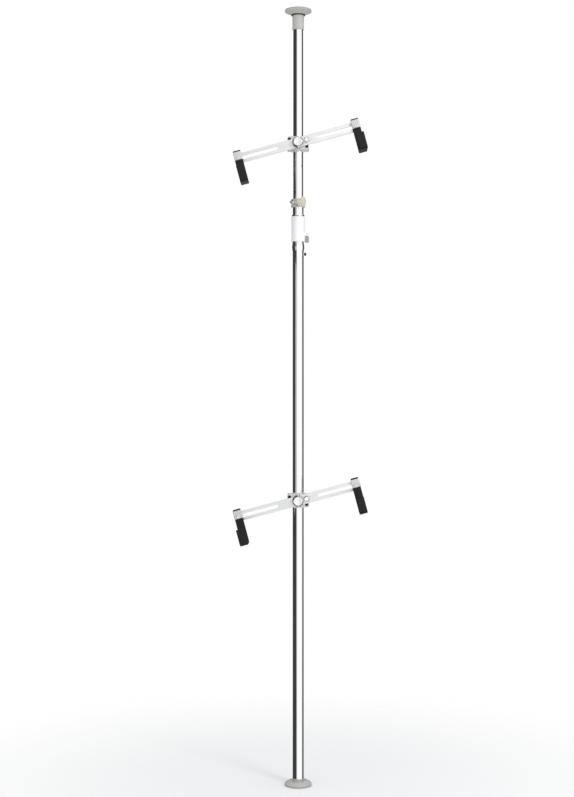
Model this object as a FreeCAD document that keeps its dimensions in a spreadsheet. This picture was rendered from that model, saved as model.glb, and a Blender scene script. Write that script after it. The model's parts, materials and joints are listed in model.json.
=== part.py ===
import FreeCAD, Part
import math
import os

import Sketcher
from FreeCAD import Placement, Rotation, Vector

# A floor-to-ceiling tension pole with two tilting bicycle cradles.
# Millimetres. +Z up, origin at the centre of the foot on the floor, the
# cradles' hooks point to -Y, and the arms run along X.

os.makedirs("parts", exist_ok=True)

doc = FreeCAD.newDocument("bike_tension_pole")
sheet = doc.addObject("Spreadsheet::Sheet", "dims")

# alias, value, note
DIMS = [
    ("pole_height", 2800, "floor to ceiling"),
    ("pad_radius", 48.5, "foot sole and ceiling pad radius"),
    ("pad_thick", 5, "rubber pad thickness"),
    ("lower_radius", 20, "lower tube outer radius"),
    ("upper_radius", 18, "upper tube outer radius"),
    ("tube_wall", 1.5, "wall of both tubes"),
    ("tube_seat", 9, "height of the lower tube's bottom end"),
    ("lower_top", 1972, "height of the lower tube's top end"),
    ("upper_bottom", 1560, "height of the upper tube's bottom end"),
    ("upper_top", 2788, "height of the upper tube's top end"),
    ("screw_shank", 4, "M8 shank radius"),
    ("screw_head", 6.5, "M8 socket head radius"),
    ("fit_gap", 0.05, "gap round a fixed fit"),
    ("run_gap", 0.1, "gap round a turning or sliding fit"),
    ("foot_rise", 12, "height of the foot cup above its sole"),
    ("ferrule_top", 2023, "top of the threaded ferrule"),
    ("ferrule_foot", 1929.5, "bottom of the ferrule skirt"),
    ("thread_radius", 21.3, "male thread radius of the ferrule"),
    ("nut_radius", 24.8, "jack nut outer radius"),
    ("nut_foot", 1962.5, "bottom of the jack nut"),
    ("nut_top", 2053.5, "top of the jack nut"),
    ("neck_radius", 19.5, "slotted neck outer radius"),
    ("neck_bore", 18.25, "slotted neck bore radius"),
    ("neck_top", 2118, "top of the slotted neck"),
    ("collar_foot", 2086, "bottom of the lock collar"),
    ("collar_tall", 30, "height of the lock collar"),
    ("collar_radius", 25.5, "lock collar outer radius"),
    ("collar_turn", -13, "turn of the lock collar about the pole, degrees"),
    ("ear_reach", 41, "distance of the lock bolt from the pole axis"),
    ("ear_round", 11, "radius of the collar's ears"),
    ("ear_half", 5, "half width over both ears"),
    ("ear_slit", 1.5, "half width of the collar slit"),
    ("knob_radius", 15, "lock knob body radius"),
    ("hinge_reach", 32.2, "distance of the handle pin from the pole axis"),
    ("hinge_height", 1990, "height of the handle pin"),
    ("steady_height", 1917.5, "height of the steady screw"),
    ("top_cradle", 2313.6, "height of the upper cradle's pivot"),
    ("low_cradle", 1029.8, "height of the lower cradle's pivot"),
    ("arm_tilt", 15, "tilt of the arms, degrees, right end up"),
    ("arm_half", 215, "half distance between the arm's end-round centres"),
    ("arm_round", 17.3, "half height of the arm"),
    ("arm_back", 39.5, "distance of the arm's back face from the pole axis"),
    ("arm_thick", 6, "arm thickness"),
    ("slot_half", 6.4, "half width of the arm's slots"),
    ("slot_inner", 78.9, "inner round centre of a slot"),
    ("slot_outer", 219.5, "outer round centre of a slot"),
    ("block_wide", 38.5, "half width of the pole clamp"),
    ("block_tall", 24, "half height of the pole clamp"),
    ("block_front", 38, "distance of the clamp's front face from the pole axis"),
    ("clamp_bore", 22.1, "bore radius of the pole clamp"),
    ("liner_radius", 22, "clamp liner outer radius"),
    ("screw_across", 31, "half spacing of the clamp screws across"),
    ("screw_up", 13.5, "half spacing of the clamp screws up and down"),
    ("clamp_screw", 3, "M6 clamp screw radius"),
    ("clamp_head", 5, "M6 socket head radius"),
    ("pivot_shank", 5, "M10 pivot bolt radius"),
    ("tilt_screw_reach", 32.5, "distance of the tilt lock screw from the pivot"),
    ("left_hook_place", 221, "distance of the left hook from the pivot along the arm"),
    ("right_hook_place", 215, "distance of the right hook from the pivot along the arm"),
    ("hook_half", 13.5, "half width of the hook strip"),
    ("hook_thick", 8, "thickness of the rubber coated hook strip"),
    ("hook_back", 45.9, "distance of the hook's back face from the pole axis"),
    ("hook_depth", 92, "outer depth of the hook"),
    ("hook_top", 28.2, "height of the hook's upper end above the arm's line"),
    ("hook_drop", 98, "depth of the hook's bottom below the arm's line"),
    ("hook_tip", 38, "depth of the hook's front tip below the arm's line"),
    ("hook_bend", 12, "outer bend radius of the hook"),
    ("sleeve_half", 14.75, "half width of the hook's coated part"),
    ("sleeve_top", 7, "depth of the coated part's top below the arm's line"),
    ("slider_knob_radius", 12.2, "slider knob body radius"),
]
for row, (alias, value, note) in enumerate(DIMS, start=1):
    sheet.set("A%d" % row, note)
    sheet.set("B%d" % row, str(value))
    sheet.setAlias("B%d" % row, alias)
doc.recompute()
KNOWN = {alias: float(value) for alias, value, note in DIMS}


class Size:
    """A number and the spreadsheet formula that gives it."""

    def __init__(self, value, text):
        self.value, self.text = float(value), text

    @staticmethod
    def of(x):
        return x if isinstance(x, Size) else Size(x, "(%r)" % float(x))

    def __add__(self, other):
        o = Size.of(other)
        return Size(self.value + o.value, "(%s + %s)" % (self.text, o.text))

    def __sub__(self, other):
        o = Size.of(other)
        return Size(self.value - o.value, "(%s - %s)" % (self.text, o.text))

    def __mul__(self, other):
        o = Size.of(other)
        return Size(self.value * o.value, "(%s * %s)" % (self.text, o.text))

    def __rsub__(self, other):
        return Size.of(other) - self

    def __neg__(self):
        return Size.of(0) - self

    __radd__ = __add__
    __rmul__ = __mul__


def dim(alias):
    return Size(KNOWN[alias], "dims." + alias)


def bind(obj, prop, size):
    if isinstance(size, Size):
        obj.setExpression(prop, size.text)


nodes = {}


def node(obj, label):
    obj.Label = label
    nodes[label] = obj
    return obj


def place(obj, base, rotation=None):
    """Puts an object at base, whose x, y and z are bound to the sheet."""
    b = [Size.of(x) for x in base]
    obj.Placement = Placement(Vector(*[x.value for x in b]), rotation or Rotation())
    for name, want in zip("xyz", base):
        if isinstance(want, Size):
            obj.setExpression(".Placement.Base." + name, want.text)
    return obj


UP = Rotation()
ALONG_X = Rotation(Vector(0, 1, 0), 90)
ALONG_Y = Rotation(Vector(1, 0, 0), -90)
TO_FRONT = Rotation(Vector(1, 0, 0), 90)


def cyl(name, radius, height, base=(0, 0, 0), rotation=UP):
    c = doc.addObject("Part::Cylinder", name)
    c.Radius, c.Height = Size.of(radius).value, Size.of(height).value
    bind(c, "Radius", radius)
    bind(c, "Height", height)
    return place(c, base, rotation)


def box(name, low, high):
    b = doc.addObject("Part::Box", name)
    for prop, lo, hi in zip(("Length", "Width", "Height"), low, high):
        span = Size.of(hi) - Size.of(lo)
        setattr(b, prop, span.value)
        if isinstance(lo, Size) or isinstance(hi, Size):
            bind(b, prop, span)
    return place(b, low)


def hexagon(name, across, height, base, rotation=UP):
    p = doc.addObject("Part::Prism", name)
    p.Polygon = 6
    p.Circumradius = across / math.sqrt(3)
    p.Height = height
    return place(p, base, rotation)


def fuse(name, parts):
    f = doc.addObject("Part::MultiFuse", name)
    f.Shapes = parts
    return f


def cut(name, base, tools):
    c = doc.addObject("Part::Cut", name)
    c.Base = base
    c.Tool = tools[0] if len(tools) == 1 else fuse(name + "_tools", tools)
    return c


def group(name, parts):
    g = doc.addObject("Part::Compound", name)
    g.Links = parts
    return g


def plane(body, role):
    return [f for f in body.Origin.OriginFeatures if f.Role == role][0]


def polygon(sketch, points):
    """A closed outline whose every corner is bound to the sheet."""
    flat = [(Size.of(x), Size.of(y)) for x, y in points]
    first = sketch.GeometryCount
    n = len(flat)
    for i in range(n):
        a, b = flat[i], flat[(i + 1) % n]
        sketch.addGeometry(
            Part.LineSegment(
                Vector(a[0].value, a[1].value, 0), Vector(b[0].value, b[1].value, 0)
            )
        )
    for i in range(n):
        sketch.addConstraint(
            Sketcher.Constraint("Coincident", first + i, 2, first + (i + 1) % n, 1)
        )
    for i, (x, y) in enumerate(flat):
        pin(sketch, first + i, 1, x, y)


def pin(sketch, geometry, point, x, y):
    """Fixes one point of a sketch at x, y from the origin."""
    for kind, size, axis in (("DistanceX", x, -2), ("DistanceY", y, -1)):
        size = Size.of(size)
        if abs(size.value) < 1e-9:
            sketch.addConstraint(
                Sketcher.Constraint("PointOnObject", geometry, point, axis)
            )
        else:
            at = sketch.addConstraint(
                Sketcher.Constraint(kind, -1, 1, geometry, point, size.value)
            )
            if "dims." in size.text:
                sketch.setExpression("Constraints[%d]" % at, size.text)


def circle(sketch, radius, x=0, y=0):
    r, cx, cy = Size.of(radius), Size.of(x), Size.of(y)
    g = sketch.addGeometry(
        Part.Circle(Vector(cx.value, cy.value, 0), Vector(0, 0, 1), r.value)
    )
    at = sketch.addConstraint(Sketcher.Constraint("Radius", g, r.value))
    if "dims." in r.text:
        sketch.setExpression("Constraints[%d]" % at, r.text)
    pin(sketch, g, 3, cx, cy)


def stadium(sketch, left, right, radius):
    """A round-ended slot between two centres on the sketch's x axis."""
    a, b, r = Size.of(left), Size.of(right), Size.of(radius)
    z = Vector(0, 0, 1)
    g = sketch.GeometryCount
    sketch.addGeometry(
        Part.ArcOfCircle(
            Part.Circle(Vector(b.value, 0, 0), z, r.value), -math.pi / 2, math.pi / 2
        )
    )
    sketch.addGeometry(
        Part.LineSegment(Vector(b.value, r.value, 0), Vector(a.value, r.value, 0))
    )
    sketch.addGeometry(
        Part.ArcOfCircle(
            Part.Circle(Vector(a.value, 0, 0), z, r.value),
            math.pi / 2,
            3 * math.pi / 2,
        )
    )
    sketch.addGeometry(
        Part.LineSegment(Vector(a.value, -r.value, 0), Vector(b.value, -r.value, 0))
    )
    for one, p, two, q in ((0, 2, 1, 1), (1, 2, 2, 1), (2, 2, 3, 1), (3, 2, 0, 1)):
        sketch.addConstraint(Sketcher.Constraint("Tangent", g + one, p, g + two, q))
    for arc, centre in ((0, b), (2, a)):
        at = sketch.addConstraint(Sketcher.Constraint("Radius", g + arc, r.value))
        if "dims." in r.text:
            sketch.setExpression("Constraints[%d]" % at, r.text)
        pin(sketch, g + arc, 3, centre, 0)


def new_sketch(body, name, role, lift=0):
    s = body.newObject("Sketcher::SketchObject", name)
    s.AttachmentSupport = [(plane(body, role), "")]
    s.MapMode = "FlatFace"
    level = Size.of(lift)
    s.AttachmentOffset = Placement(Vector(0, 0, level.value), Rotation())
    if isinstance(lift, Size):
        s.setExpression(".AttachmentOffset.Base.z", level.text)
    return s


def turned(name, points):
    """A body turned about its own Z axis from an outline of radius, height."""
    body = doc.addObject("PartDesign::Body", name)
    s = new_sketch(body, name + "_outline", "XZ_Plane")
    polygon(s, points)
    r = body.newObject("PartDesign::Revolution", name + "_turn")
    r.Profile = s
    r.ReferenceAxis = (s, ["V_Axis"])
    r.Angle = 360
    s.Visibility = False
    return body


def padded(name, role, draw, length, lift=0):
    """A body padded from one sketch; draw(sketch) adds its outlines."""
    body = doc.addObject("PartDesign::Body", name)
    s = new_sketch(body, name + "_outline", role, lift)
    draw(s)
    p = body.newObject("PartDesign::Pad", name + "_pad")
    p.Profile = s
    p.Length = Size.of(length).value
    bind(p, "Length", length)
    return body


def gripped(name, points, lobe, ring, low, high, count):
    """A turned knob with a ring of grip lobes round it."""
    body = turned(name, points)
    s = new_sketch(body, name + "_lobe", "XY_Plane", low)
    circle(s, lobe, ring, 0)
    p = body.newObject("PartDesign::Pad", name + "_lobe_pad")
    p.Profile = s
    p.Length = high - low
    doc.recompute()
    w = body.newObject("PartDesign::PolarPattern", name + "_grip")
    w.Originals = [p]
    w.Axis = (plane(body, "Z_Axis"), [""])
    w.Angle = 360
    w.Occurrences = count
    body.Tip = w
    return body


def rounded(body, radius, want):
    """Fillets the edges of a body's tip for which want(edge) is true."""
    doc.recompute()
    tip = body.Tip
    names = ["Edge%d" % (i + 1) for i, e in enumerate(tip.Shape.Edges) if want(e)]
    f = body.newObject("PartDesign::Fillet", body.Name + "_round%d" % len(body.Group))
    f.Base = (tip, names)
    f.Radius = Size.of(radius).value
    bind(f, "Radius", radius)
    body.Tip = f
    return f


# ---------------------------------------------------------------- foot
R = dim("pad_radius")
T = dim("pad_thick")
SEAT = dim("tube_seat")
LR, UR, WALL = dim("lower_radius"), dim("upper_radius"), dim("tube_wall")
FIT, RUN = dim("fit_gap"), dim("run_gap")
SH, HD = dim("screw_shank"), dim("screw_head")
TOP = dim("pole_height")

node(
    turned(
        "foot_sole",
        [
            (0, 0), (20, 0), (20, 1.2), (23, 1.2), (23, 0), (34, 0), (34, 1.2),
            (37, 1.2), (37, 0), (R - 1.5, 0), (R, 1.5), (R, T), (HD + 1, T),
            (HD + 1, 1.4), (0, 1.4),
        ],
    ),
    "foot_sole",
)
node(
    turned(
        "foot_cup",
        [
            (SH + RUN, T), (R, T), (R, T + 2.4), (R - 1.6, T + 4.8),
            (R - 5, T + 7.6), (R - 10, T + 10.2),
            (R - 15, T + dim("foot_rise")), (R - 18.5, T + dim("foot_rise")),
            (R - 21, T + 10.8), (LR + FIT, T + 10.2), (LR + FIT, SEAT),
            (SH + RUN, SEAT),
        ],
    ),
    "foot_cup",
)
node(
    turned(
        "foot_screw",
        [(0, 1.7), (HD - 0.6, 1.7), (HD, 2.3), (HD, T), (SH, T), (SH, T + 33), (0, T + 33)],
    ),
    "foot_screw",
)
node(
    turned(
        "lower_tube_plug",
        [
            (SH + FIT, SEAT), (LR - WALL - FIT, SEAT),
            (LR - WALL - FIT, SEAT + 34), (LR - WALL - 2, SEAT + 36),
            (SH + FIT, SEAT + 36),
        ],
    ),
    "lower_tube_plug",
)

# ---------------------------------------------------------- lower tube
tube = turned(
    "lower_tube_raw",
    [(LR - WALL, SEAT), (LR, SEAT), (LR, dim("lower_top")), (LR - WALL, dim("lower_top"))],
)
hole = cyl("steady_hole", 3.1, 8, (LR - 4, 0, dim("steady_height")), ALONG_X)
node(cut("lower_tube", tube, [hole]), "lower_tube")

boss = cut(
    "steady_washer",
    cyl("steady_pad", 8, 2.6, (19, 0, dim("steady_height")), ALONG_X),
    [
        cyl("steady_seat", LR + FIT, 40, (0, 0, dim("steady_height") - 20)),
        cyl("steady_way", 3.1, 12, (17, 0, dim("steady_height")), ALONG_X),
    ],
)
steady = fuse(
    "steady_thumb",
    [
        cyl("steady_shank", 3, 6, (18.3, 0, dim("steady_height")), ALONG_X),
        cyl("steady_head", 5.2, 7.4, (21.7, 0, dim("steady_height")), ALONG_X),
    ],
)
node(group("steady_screw", [boss, steady]), "steady_screw")

THREAD, FT = dim("thread_radius"), dim("ferrule_foot")
node(
    turned(
        "jack_ferrule",
        [
            (LR + FIT, FT), (LR + 0.9, FT), (LR + 2.3, FT + 14), (LR + 2.3, FT + 19),
            (THREAD, FT + 21), (THREAD, dim("ferrule_top") - 1),
            (THREAD - 1, dim("ferrule_top")), (UR + 0.4, dim("ferrule_top")),
            (UR + 0.4, dim("lower_top")), (LR + FIT, dim("lower_top")),
        ],
    ),
    "jack_ferrule",
)

# ------------------------------------------------------ lifting carriage
NR, NB, NT = dim("neck_radius"), dim("neck_bore"), dim("nut_top")
neck = turned(
    "clamp_neck_raw",
    [
        (NB, NT - 16), (NR, NT - 16), (NR, NT + 2), (NR + 3, NT + 2), (NR + 3, NT + 6),
        (NR, NT + 6), (NR, dim("neck_top")), (NB, dim("neck_top")),
    ],
)
slits = [
    box("neck_slit_front", (-1.5, -26, NT + 21), (1.5, -14, dim("neck_top") + 2)),
    box("neck_slit_back", (-1.5, 14, NT + 21), (1.5, 26, dim("neck_top") + 2)),
]
neck = cut("clamp_neck", neck, slits)
neck.Placement = Placement(Vector(0, 0, 0), Rotation(Vector(0, 0, 1), KNOWN["collar_turn"]))
neck.setExpression(".Placement.Rotation.Angle", "-dims.collar_turn")
neck.Placement = Placement(Vector(0, 0, 0), Rotation(Vector(0, 0, -1), -KNOWN["collar_turn"]))
node(neck, "clamp_neck")
node(
    turned(
        "thrust_washer",
        [(NR + 0.2, NT + 0.2), (NR + 3, NT + 0.2), (NR + 3, NT + 2), (NR + 0.2, NT + 2)],
    ),
    "thrust_washer",
)

CF, CT = dim("collar_foot"), dim("collar_tall")
EAR, EY = dim("ear_round"), dim("ear_reach")
mid = CF + CT * 0.5
EH = dim("ear_half")
collar = cut(
    "lock_collar",
    fuse(
        "collar_solid",
        [
            cyl("collar_ring", dim("collar_radius"), CT, (0, 0, CF)),
            box("collar_ears", (-EH, -EY, mid - EAR), (EH, -18, mid + EAR)),
            cyl("collar_ear_round", EAR, EH * 2, (-EH, -EY, mid), ALONG_X),
        ],
    ),
    [
        cyl("collar_bore", NR + FIT, CT + 2, (0, 0, CF - 1)),
        box(
            "collar_slit",
            (-dim("ear_slit"), -60, CF - 1),
            (dim("ear_slit"), -15, CF + CT + 1),
        ),
        cyl("collar_bolt_way", SH + RUN, EH * 2 + 2, (-EH - 1, -EY, mid), ALONG_X),
    ],
)
TURN = Rotation(Vector(0, 0, 1), KNOWN["collar_turn"])
collar.Placement = Placement(Vector(0, 0, 0), TURN)
node(collar, "lock_collar")

# The lock bolt lies along the collar's own X axis, in front of the pole.
bolt_base = TURN.multVec(Vector(0, -KNOWN["ear_reach"], KNOWN["collar_foot"] + 15))
bolt_turn = TURN.multiply(ALONG_X)
bolt = turned(
    "lock_bolt",
    [
        (0, -20.5), (3.4, -20), (4.6, -18.8), (5.2, -16.8), (5.2, -14.4), (7.5, -14.4),
        (7.5, -7.4), (8.2, -7.4), (8.2, -EH - FIT), (SH, -EH - FIT), (SH, 28.5), (0, 28.5),
    ],
)
bolt.Placement = Placement(bolt_base, bolt_turn)
node(bolt, "lock_bolt")

K = dim("knob_radius")
knob = gripped(
    "lock_knob",
    [
        (SH + RUN, 5.4), (9, 5.4), (9, 8.8), (13, 9.6), (K - 0.6, 12.6), (K, 16), (K, 32.6),
        (K - 2.6, 35), (9, 36.4), (0, 37), (0, 29.5), (SH + RUN, 29.5),
    ],
    3.4, KNOWN["knob_radius"] - 0.3, 20.4, 33.2, 10,
)
knob.Placement = Placement(bolt_base, bolt_turn)
node(knob, "lock_knob")

# -------------------------------------------------------------- jack nut
NUT, NF = dim("nut_radius"), dim("nut_foot")
HX, HZ = dim("hinge_reach"), dim("hinge_height")
sleeve = turned(
    "jack_nut_sleeve",
    [
        (THREAD + RUN, NF), (NUT - 1, NF), (NUT, NF + 1), (NUT, NT - 2),
        (NUT - 2, NT), (NR + 0.2, NT), (NR + 0.2, NT - 14), (THREAD + RUN, NT - 14),
    ],
)
lugs = cut(
    "jack_nut_lugs",
    fuse(
        "jack_nut_lug_solid",
        [
            box("jack_nut_lug", (22.2, -7, HZ - 6), (HX, 7, HZ + 6)),
            cyl("jack_nut_lug_round", 6, 14, (HX, -7, HZ), ALONG_Y),
        ],
    ),
    [
        box("jack_nut_fork", (24, -3.2, HZ - 8), (HX + 8, 3.2, HZ + 8)),
        cyl("jack_nut_pin_way", 1.5 + FIT, 16, (HX, -8, HZ), ALONG_Y),
    ],
)
node(fuse("jack_nut", [sleeve, lugs]), "jack_nut")
pin_body = turned(
    "jack_handle_pin",
    [(0, -8.8), (2.2, -8.8), (2.8, -8.2), (2.8, -7.1), (1.5, -7.1), (1.5, 7.4), (1, 7.9), (0, 7.9)],
)
node(place(pin_body, (HX, 0, HZ), ALONG_Y), "jack_handle_pin")

handle = cut(
    "jack_handle",
    fuse(
        "jack_handle_solid",
        [
            cyl("jack_handle_eye", 5, 5.8, (HX, -2.9, HZ), ALONG_Y),
            cyl("jack_handle_rod", 2.5, 28, (HX, 0, HZ - 32)),
        ],
    ),
    [cyl("jack_handle_bore", 1.5 + RUN, 8, (HX, -4, HZ), ALONG_Y)],
)
node(handle, "jack_handle")
grip = turned(
    "jack_handle_grip",
    [
        (2.5 + FIT, -30), (5.6, -30), (6.6, -28), (6.9, -20), (6.2, -10), (5.2, -6.9),
        (2.5 + FIT, -6.9),
    ],
)
node(place(grip, (HX, 0, HZ)), "jack_handle_grip")

# ------------------------------------------------------------ upper pole
UB, UT = dim("upper_bottom"), dim("upper_top")
node(
    turned("upper_tube", [(UR - WALL, UB), (UR, UB), (UR, UT), (UR - WALL, UT)]),
    "upper_tube",
)
node(
    turned(
        "upper_tube_guide",
        [
            (0, UB - 10), (UR - 1, UB - 10), (UR + 0.2, UB - 9), (UR + 0.2, UB),
            (UR - WALL - FIT, UB), (UR - WALL - FIT, UB + 26), (UR - WALL - 2, UB + 28),
            (0, UB + 28),
        ],
    ),
    "upper_tube_guide",
)
node(
    turned(
        "ceiling_collar",
        [
            (UR + FIT, TOP - 72), (UR + 2.4, TOP - 72), (UR + 3, TOP - 71.2),
            (UR + 3, TOP - 21.8), (UR + 2.2, TOP - 20.8), (UR + FIT, TOP - 20.8),
        ],
    ),
    "ceiling_collar",
)
node(
    turned(
        "ceiling_cup",
        [
            (UR + FIT, TOP - 20.6), (UR + 1.2, TOP - 20.6), (UR + 1.2, TOP - 17.6),
            (UR + 7.6, TOP - 17.6), (UR + 9, TOP - 16.2), (R - 2.2, TOP - 8.2),
            (R, TOP - 6.4), (R, TOP - T), (SH + RUN, TOP - T),
            (SH + RUN, TOP - 55), (UR - WALL - 2, TOP - 55), (UR - WALL - FIT, TOP - 53),
            (UR - WALL - FIT, UT + FIT), (UR + FIT, UT + FIT),
        ],
    ),
    "ceiling_cup",
)
node(
    turned(
        "ceiling_pad",
        [
            (0, TOP), (20, TOP), (20, TOP - 1.2), (23, TOP - 1.2), (23, TOP), (34, TOP),
            (34, TOP - 1.2), (37, TOP - 1.2), (37, TOP), (R - 1.5, TOP), (R, TOP - 1.5),
            (R, TOP - T), (HD + 1, TOP - T), (HD + 1, TOP - 1.4), (0, TOP - 1.4),
        ],
    ),
    "ceiling_pad",
)
node(
    turned(
        "ceiling_screw",
        [
            (0, TOP - 1.7), (HD - 0.6, TOP - 1.7), (HD, TOP - 2.3), (HD, TOP - T),
            (SH, TOP - T), (SH, TOP - 48), (0, TOP - 48),
        ],
    ),
    "ceiling_screw",
)


# --------------------------------------------------------------- cradles
AB, AT = dim("arm_back"), dim("arm_thick")
AF = AB + AT
PS = dim("pivot_shank")
TILT = Rotation(Vector(0, 1, 0), -KNOWN["arm_tilt"])
COS, SIN = "cos(dims.arm_tilt * 1 deg)", "sin(dims.arm_tilt * 1 deg)"


def on_arm(obj, height, along, rotation=None):
    """Puts a piece on a tilted arm, along it from the pivot."""
    a = Size.of(along)
    z = Size.of(height)
    obj.Placement = Placement(
        TILT.multVec(Vector(a.value, 0, 0)) + Vector(0, 0, z.value),
        TILT.multiply(rotation) if rotation else TILT,
    )
    obj.setExpression(".Placement.Base.x", "%s * %s" % (a.text, COS))
    obj.setExpression(".Placement.Base.z", "%s + %s * %s" % (z.text, a.text, SIN))
    return obj


def cradle(side, height, tube_radius):
    """One pole clamp with its tilting arm and two sliding hooks."""
    n = side + "_"
    W, H, F = dim("block_wide"), dim("block_tall"), dim("block_front")
    SX, SZ, CB, LI = dim("screw_across"), dim("screw_up"), dim("clamp_bore"), dim("liner_radius")
    CS, CH = dim("clamp_screw"), dim("clamp_head")

    liner = turned(
        n + "liner_raw",
        [
            (tube_radius + RUN, -H - 2.5), (LI + 2, -H - 2.5), (LI + 2.5, -H - 2),
            (LI + 2.5, -H - 0.4), (LI, -H - 0.4), (LI, H + 0.4), (LI + 2.5, H + 0.4),
            (LI + 2.5, H + 2), (LI + 2, H + 2.5), (tube_radius + RUN, H + 2.5),
        ],
    )
    liner = cut(n + "clamp_liner", liner, [box(n + "liner_slit", (-1, 15, -40), (1, 30, 40))])
    node(place(liner, (0, 0, height)), n + "clamp_liner")

    # front half of the clamp: four counterbored holes and the pivot hole
    def front_outline(s):
        polygon(s, [(-W, -H), (W, -H), (W, H), (-W, H)])
        for x in (-SX, SX):
            for z in (-SZ, SZ):
                circle(s, CS + RUN, x, z)
        circle(s, PS + FIT, 0, 0)

    block = padded(n + "front_block", "XZ_Plane", front_outline, F - 1, 1)
    rounded(
        block, 9,
        lambda e: e.Length > 30 and abs(e.Vertexes[0].X - e.Vertexes[-1].X) < 0.01
        and abs(e.Vertexes[0].Z - e.Vertexes[-1].Z) < 0.01
        and abs(abs(e.Vertexes[0].X) - W.value) < 0.01,
    )
    rounded(
        block, 2,
        lambda e: all(abs(v.Y + F.value) < 0.01 for v in e.Vertexes)
        and (e.Length > 29 or abs(e.BoundBox.Center.x) > 33 and abs(e.BoundBox.Center.z) > 18.9 and e.Length > 12),
    )
    bores = [
        cyl(n + "front_counterbore_%d%d" % (i, j), CH + 0.8, 9.15, (x, -F - 0.1, z), ALONG_Y)
        for i, x in enumerate((-SX, SX))
        for j, z in enumerate((-SZ, SZ))
    ]
    front = cut(
        n + "clamp_front",
        block,
        [
            cyl(n + "front_bore", CB, 2 * H + 4, (0, 0, -H - 2)),
            cyl(n + "front_head_room", 9, 9.1, (0, -29.1, 0), ALONG_Y),
        ] + bores,
    )
    node(place(front, (0, 0, height)), n + "clamp_front")

    # back half: a half shell with two ears
    back = cut(
        n + "clamp_back",
        fuse(
            n + "back_solid",
            [
                box(n + "back_ears", (-W, 1, -H), (W, 12, H)),
                cyl(n + "back_shell", CB + 5, 2 * H, (0, 0, -H)),
            ],
        ),
        [
            cyl(n + "back_bore", CB, 2 * H + 4, (0, 0, -H - 2)),
            box(n + "back_open", (-60, -60, -H - 2), (60, 1, H + 2)),
        ] + [
            cyl(n + "back_way_%d%d" % (i, j), CS + RUN, 14, (x, 0, z), ALONG_Y)
            for i, x in enumerate((-SX, SX))
            for j, z in enumerate((-SZ, SZ))
        ],
    )
    node(place(back, (0, 0, height)), n + "clamp_back")

    # four socket screws and their nuts
    pieces = []
    for i, x in enumerate((-SX, SX)):
        for j, z in enumerate((-SZ, SZ)):
            k = "%d%d" % (i, j)
            pieces.append(
                cut(
                    n + "clamp_screw_" + k,
                    fuse(
                        n + "clamp_screw_solid_" + k,
                        [
                            cyl(n + "screw_head_" + k, CH, 7, (x, -36, z), ALONG_Y),
                            cyl(n + "screw_shank_" + k, CS, 48.5, (x, -30, z), ALONG_Y),
                        ],
                    ),
                    [hexagon(n + "screw_socket_" + k, 5, 3.6, (x, -36.1, z), ALONG_Y)],
                )
            )
            pieces.append(
                cut(
                    n + "clamp_nut_" + k,
                    hexagon(n + "nut_solid_" + k, 10, 5, (x, 12.05, z), ALONG_Y),
                    [cyl(n + "nut_way_" + k, CS + FIT, 8, (x, 11, z), ALONG_Y)],
                )
            )
    node(place(group(n + "clamp_screws", pieces), (0, 0, height)), n + "clamp_screws")

    pivot = turned(
        n + "pivot_bolt",
        [
            (0, 22.7), (7.6, 22.7), (8.5, 23.6), (8.5, 29), (PS, 29), (PS, 55.5),
            (PS - 0.8, 56.3), (0, 56.3),
        ],
    )
    node(place(pivot, (0, 0, height), TO_FRONT), n + "pivot_bolt")

    # the slotted arm
    def arm_outline(s):
        stadium(s, -dim("arm_half"), dim("arm_half"), dim("arm_round"))
        stadium(s, -dim("slot_outer"), -dim("slot_inner"), dim("slot_half"))
        stadium(s, dim("slot_inner"), dim("slot_outer"), dim("slot_half"))
        circle(s, PS + RUN, 0, 0)
        circle(s, 4.1, dim("tilt_screw_reach"), 0)

    arm = padded(n + "arm", "XZ_Plane", arm_outline, AT, AB)
    node(on_arm(arm, height, 0), n + "arm")
    ring = turned(
        n + "tilt_washer",
        [(PS + RUN, AF + 0.1), (20.5, AF + 0.1), (20.5, AF + 2.1), (PS + RUN, AF + 2.1)],
    )
    node(on_arm(ring, height, 0, TO_FRONT), n + "tilt_washer")
    tilt_knob = turned(
        n + "tilt_knob",
        [
            (PS + RUN, AF + 2.3), (19.5, AF + 2.3), (20.3, AF + 3.1), (20.3, AF + 7),
            (19.4, AF + 8.6), (16.8, AF + 12.4), (16.4, AF + 22), (15, AF + 23.6), (10.4, AF + 23.6),
            (9.4, AF + 22.6), (0, AF + 22.6), (0, AF + 11.4), (PS + RUN, AF + 11.4),
        ],
    )
    node(on_arm(tilt_knob, height, 0, TO_FRONT), n + "tilt_knob")
    lock = turned(
        n + "tilt_lock_screw",
        [
            (0, 38.4), (3.4, 38.4), (3.9, 39), (3.9, AF + 0.3), (10.8, AF + 0.3),
            (10.8, AF + 5.4), (9.2, AF + 7.4), (8.8, AF + 12.6), (7.2, AF + 14.2), (0, AF + 14.2),
        ],
    )
    node(on_arm(lock, height, dim("tilt_screw_reach"), TO_FRONT), n + "tilt_lock_screw")

    for end, sign in (("left", 1), ("right", -1)):
        m = n + end + "_"
        along = dim(end + "_hook_place") * (-sign)
        HB, HT, HW = dim("hook_back"), dim("hook_thick"), dim("hook_half")
        SW, SV = dim("sleeve_half"), dim("sleeve_top")
        HDp, HU, HL, HP = dim("hook_depth"), dim("hook_top"), dim("hook_drop"), dim("hook_tip")

        # the hook: a flat strip bent to a J, seen from the side, wider where it is coated
        def hook_outline(s):
            y0, y1 = -HB, -(HB + HT)
            y2, y3 = -(HB + HDp - HT), -(HB + HDp)
            polygon(
                s,
                [
                    (y0, HU), (y0, -HL), (y3, -HL), (y3, -HP), (y2, -HP),
                    (y2, -HL + HT), (y1, -HL + HT), (y1, HU),
                ],
            )

        hook = padded(m + "hook_strip", "YZ_Plane", hook_outline, SW * 2, -SW)
        yo = (-HB.value, -(HB + HDp).value)
        yi = (-(HB + HT).value, -(HB + HDp - HT).value)
        zo, zi = -HL.value, (-HL + HT).value

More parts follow.
